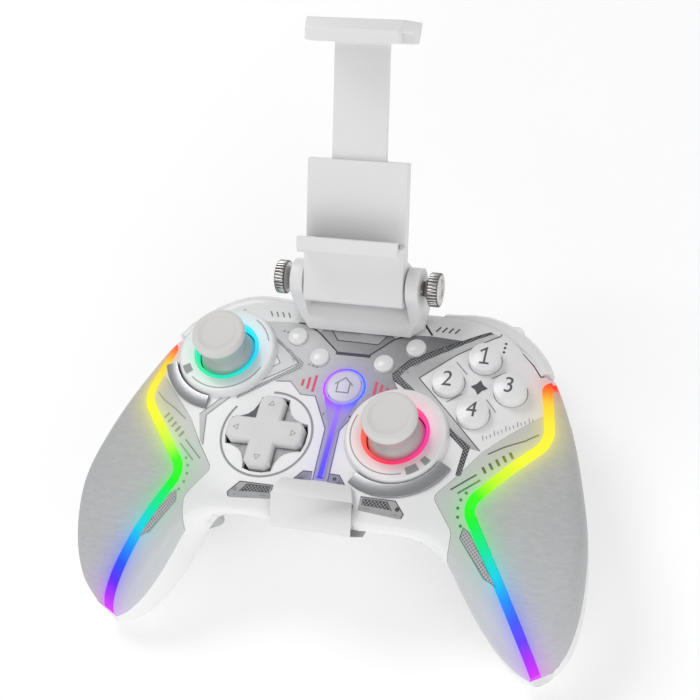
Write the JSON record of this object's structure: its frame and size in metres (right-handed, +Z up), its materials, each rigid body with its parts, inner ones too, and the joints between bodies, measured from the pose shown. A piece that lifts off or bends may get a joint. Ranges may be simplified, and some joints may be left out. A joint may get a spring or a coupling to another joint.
{
  "type": "gamepad",
  "caption": "White wireless gamepad with lit grip strips and lit thumb sticks, and a hinged, sliding clip that holds a phone above it.",
  "frame": {"origin": "centre of the bounding box in plan, at the level of the flats under the grips", "axes": "+X to the player's right, +Y away from the player, +Z up, square to the flat face"},
  "size_m": [0.1846, 0.1816, 0.1413],
  "materials": {
    "face_white": "satin gloss",
    "panel_grey": "satin",
    "grip_grey": "fine texture",
    "light_strip": "lit from inside",
    "light_guide": "lit from inside",
    "light_ring": "lit from inside",
    "collar_white": "satin gloss",
    "trim_silver": "silver paint",
    "stick_white": "satin gloss",
    "steel": "plain",
    "inner_plastic": "moulded",
    "button_white": "glossy",
    "home_white": "glossy",
    "pad_rubber": "matte",
    "shoulder_white": "satin gloss",
    "macro_grey": "satin",
    "board_green": "solder mask",
    "battery_foil": "foil",
    "port_steel": "plain",
    "clip_white": "satin gloss",
    "knob_steel": "bright, knurled"
  },
  "bodies": {
    "housing": {"back_shell": "grip_grey", "battery": "battery_foil", "bezel_trims": "trim_silver", "button_pads": "pad_rubber", "case_screws": "steel", "charge_port": "port_steel", "clip_base": "clip_white", "cross_post": "inner_plastic", "face_shell": "face_white", "gimbal_boxes": "inner_plastic", "grip_cover_left": "grip_grey", "grip_cover_right": "grip_grey", "light_guide": "light_guide", "light_ring_left": "light_ring", "light_ring_right": "light_ring", "light_strip_left": "light_strip", "light_strip_right": "light_strip", "main_board": "board_green", "rumble_motors": "steel", "side_panel_left": "panel_grey", "side_panel_right": "panel_grey", "stick_bezel_left": "collar_white", "stick_bezel_right": "collar_white", "trigger_pins": "steel"},
    "left_stick_yoke": {"stick_yoke_left": "inner_plastic"},
    "left_stick_rocker": {"stick_rocker_left": "inner_plastic"},
    "left_stick": {"stick_shaft_left": "steel", "stick_cap_left": "stick_white"},
    "right_stick_yoke": {"stick_yoke_right": "inner_plastic"},
    "right_stick_rocker": {"stick_rocker_right": "inner_plastic"},
    "right_stick": {"stick_shaft_right": "steel", "stick_cap_right": "stick_white"},
    "action_button_1": {"action_button_1": "button_white"},
    "action_button_2": {"action_button_2": "button_white"},
    "action_button_3": {"action_button_3": "button_white"},
    "action_button_4": {"action_button_4": "button_white"},
    "menu_button_1": {"menu_button_1": "button_white"},
    "menu_button_2": {"menu_button_2": "button_white"},
    "menu_button_3": {"menu_button_3": "button_white"},
    "menu_button_4": {"menu_button_4": "button_white"},
    "home_button": {"home_button": "home_white"},
    "cross_ball": {"cross_pivot": "inner_plastic"},
    "cross_pad": {"cross_cap": "button_white"},
    "right_bumper": {"bumper_right": "shoulder_white"},
    "right_trigger": {"trigger_right": "shoulder_white"},
    "right_macro": {"macro_button_right": "macro_grey"},
    "right_rumble_weight": {"rumble_weight_right": "steel"},
    "right_thumb_screw": {"thumb_screw_right": "knob_steel"},
    "left_bumper": {"bumper_left": "shoulder_white"},
    "left_trigger": {"trigger_left": "shoulder_white"},
    "left_macro": {"macro_button_left": "macro_grey"},
    "left_rumble_weight": {"rumble_weight_left": "steel"},
    "left_thumb_screw": {"thumb_screw_left": "knob_steel"},
    "phone_holder": {"clip_block": "clip_white", "clip_pin": "steel", "jaw_pad_low": "pad_rubber"},
    "phone_jaw": {"clip_slide": "clip_white", "jaw_pad_high": "pad_rubber"}
  },
  "joints": [
    {"name": "left_stick_forward", "type": "hinge", "parent": "housing", "child": "left_stick_yoke", "pos_m": [-0.0466, -0.0006, 0.05], "axis": [1, 0, 0], "range_deg": [-15, 15], "stiffness_Nm_per_rad": 0.06},
    {"name": "left_stick_sideways", "type": "hinge", "parent": "left_stick_yoke", "child": "left_stick_rocker", "pos_m": [-0.0466, -0.0006, 0.05], "axis": [0, 1, 0], "range_deg": [-15, 15], "stiffness_Nm_per_rad": 0.06},
    {"name": "left_stick_click", "type": "slide", "parent": "left_stick_rocker", "child": "left_stick", "axis": [0, 0, 1], "range_m": [-0.0004, 0], "stiffness_N_per_m": 5000, "springref_m": 0.0003},
    {"name": "right_stick_forward", "type": "hinge", "parent": "housing", "child": "right_stick_yoke", "pos_m": [0.023, -0.0264, 0.05], "axis": [1, 0, 0], "range_deg": [-15, 15], "stiffness_Nm_per_rad": 0.06},
    {"name": "right_stick_sideways", "type": "hinge", "parent": "right_stick_yoke", "child": "right_stick_rocker", "pos_m": [0.023, -0.0264, 0.05], "axis": [0, 1, 0], "range_deg": [-15, 15], "stiffness_Nm_per_rad": 0.06},
    {"name": "right_stick_click", "type": "slide", "parent": "right_stick_rocker", "child": "right_stick", "axis": [0, 0, 1], "range_m": [-0.0004, 0], "stiffness_N_per_m": 5000, "springref_m": 0.0003},
    {"name": "action_button_1_press", "type": "slide", "parent": "housing", "child": "action_button_1", "axis": [0, 0, 1], "range_m": [-0.001, 0], "stiffness_N_per_m": 600, "springref_m": 0.0006},
    {"name": "action_button_2_press", "type": "slide", "parent": "housing", "child": "action_button_2", "axis": [0, 0, 1], "range_m": [-0.001, 0], "stiffness_N_per_m": 600, "springref_m": 0.0006},
    {"name": "action_button_3_press", "type": "slide", "parent": "housing", "child": "action_button_3", "axis": [0, 0, 1], "range_m": [-0.001, 0], "stiffness_N_per_m": 600, "springref_m": 0.0006},
    {"name": "action_button_4_press", "type": "slide", "parent": "housing", "child": "action_button_4", "axis": [0, 0, 1], "range_m": [-0.001, 0], "stiffness_N_per_m": 600, "springref_m": 0.0006},
    {"name": "menu_button_1_press", "type": "slide", "parent": "housing", "child": "menu_button_1", "axis": [0, 0, 1], "range_m": [-0.0007, 0], "stiffness_N_per_m": 900, "springref_m": 0.0005},
    {"name": "menu_button_2_press", "type": "slide", "parent": "housing", "child": "menu_button_2", "axis": [0, 0, 1], "range_m": [-0.0007, 0], "stiffness_N_per_m": 900, "springref_m": 0.0005},
    {"name": "menu_button_3_press", "type": "slide", "parent": "housing", "child": "menu_button_3", "axis": [0, 0, 1], "range_m": [-0.0007, 0], "stiffness_N_per_m": 900, "springref_m": 0.0005},
    {"name": "menu_button_4_press", "type": "slide", "parent": "housing", "child": "menu_button_4", "axis": [0, 0, 1], "range_m": [-0.0007, 0], "stiffness_N_per_m": 900, "springref_m": 0.0005},
    {"name": "home_button_press", "type": "slide", "parent": "housing", "child": "home_button", "axis": [0, 0, 1], "range_m": [-0.0007, 0], "stiffness_N_per_m": 900, "springref_m": 0.0005},
    {"name": "cross_forward", "type": "hinge", "parent": "housing", "child": "cross_ball", "pos_m": [-0.0235, -0.0311, 0.0476], "axis": [1, 0, 0], "range_deg": [-3.5, 3.5], "stiffness_Nm_per_rad": 0.25},
    {"name": "cross_sideways", "type": "hinge", "parent": "cross_ball", "child": "cross_pad", "pos_m": [-0.0235, -0.0311, 0.0476], "axis": [0, 1, 0], "range_deg": [-3.5, 3.5], "stiffness_Nm_per_rad": 0.25},
    {"name": "right_bumper_press", "type": "hinge", "parent": "housing", "child": "right_bumper", "pos_m": [0.0286, 0.0247, 0.046], "axis": [0, 0, 1], "range_deg": [-1.4, 0], "stiffness_Nm_per_rad": 1, "springref_deg": 1.15},
    {"name": "right_trigger_pull", "type": "hinge", "parent": "housing", "child": "right_trigger", "pos_m": [0.0425, 0.0174, 0.0355], "axis": [1, 0, 0], "range_deg": [-12, 0], "stiffness_Nm_per_rad": 0.08, "springref_deg": 8.59},
    {"name": "right_macro_press", "type": "slide", "parent": "housing", "child": "right_macro", "axis": [0, 0, 1], "range_m": [0, 0.0008], "stiffness_N_per_m": 1500, "springref_m": -0.0008},
    {"name": "right_rumble_spin", "type": "hinge", "parent": "housing", "child": "right_rumble_weight", "pos_m": [0.072, -0.0578, 0.025], "axis": [0, 0, 1], "continuous": true},
    {"name": "right_thumb_screw_turn", "type": "hinge", "parent": "housing", "child": "right_thumb_screw", "pos_m": [0.026, 0.0251, 0.068], "axis": [1, 0, 0], "continuous": true},
    {"name": "left_bumper_press", "type": "hinge", "parent": "housing", "child": "left_bumper", "pos_m": [-0.0286, 0.0247, 0.046], "axis": [0, 0, 1], "range_deg": [0, 1.4], "stiffness_Nm_per_rad": 1, "springref_deg": -1.15},
    {"name": "left_trigger_pull", "type": "hinge", "parent": "housing", "child": "left_trigger", "pos_m": [-0.0425, 0.0174, 0.0355], "axis": [1, 0, 0], "range_deg": [-12, 0], "stiffness_Nm_per_rad": 0.08, "springref_deg": 8.59},
    {"name": "left_macro_press", "type": "slide", "parent": "housing", "child": "left_macro", "axis": [0, 0, 1], "range_m": [0, 0.0008], "stiffness_N_per_m": 1500, "springref_m": -0.0008},
    {"name": "left_rumble_spin", "type": "hinge", "parent": "housing", "child": "left_rumble_weight", "pos_m": [-0.072, -0.0578, 0.025], "axis": [0, 0, 1], "continuous": true},
    {"name": "left_thumb_screw_turn", "type": "hinge", "parent": "housing", "child": "left_thumb_screw", "pos_m": [-0.026, 0.0251, 0.068], "axis": [1, 0, 0], "continuous": true},
    {"name": "phone_tilt", "type": "hinge", "parent": "housing", "child": "phone_holder", "pos_m": [0, 0.0251, 0.068], "axis": [1, 0, 0], "range_deg": [-30, 46]},
    {"name": "phone_jaw_slide", "type": "slide", "parent": "phone_holder", "child": "phone_jaw", "axis": [0, 0.7193, 0.6947], "range_m": [-0.012, 0.014]}
  ]
}
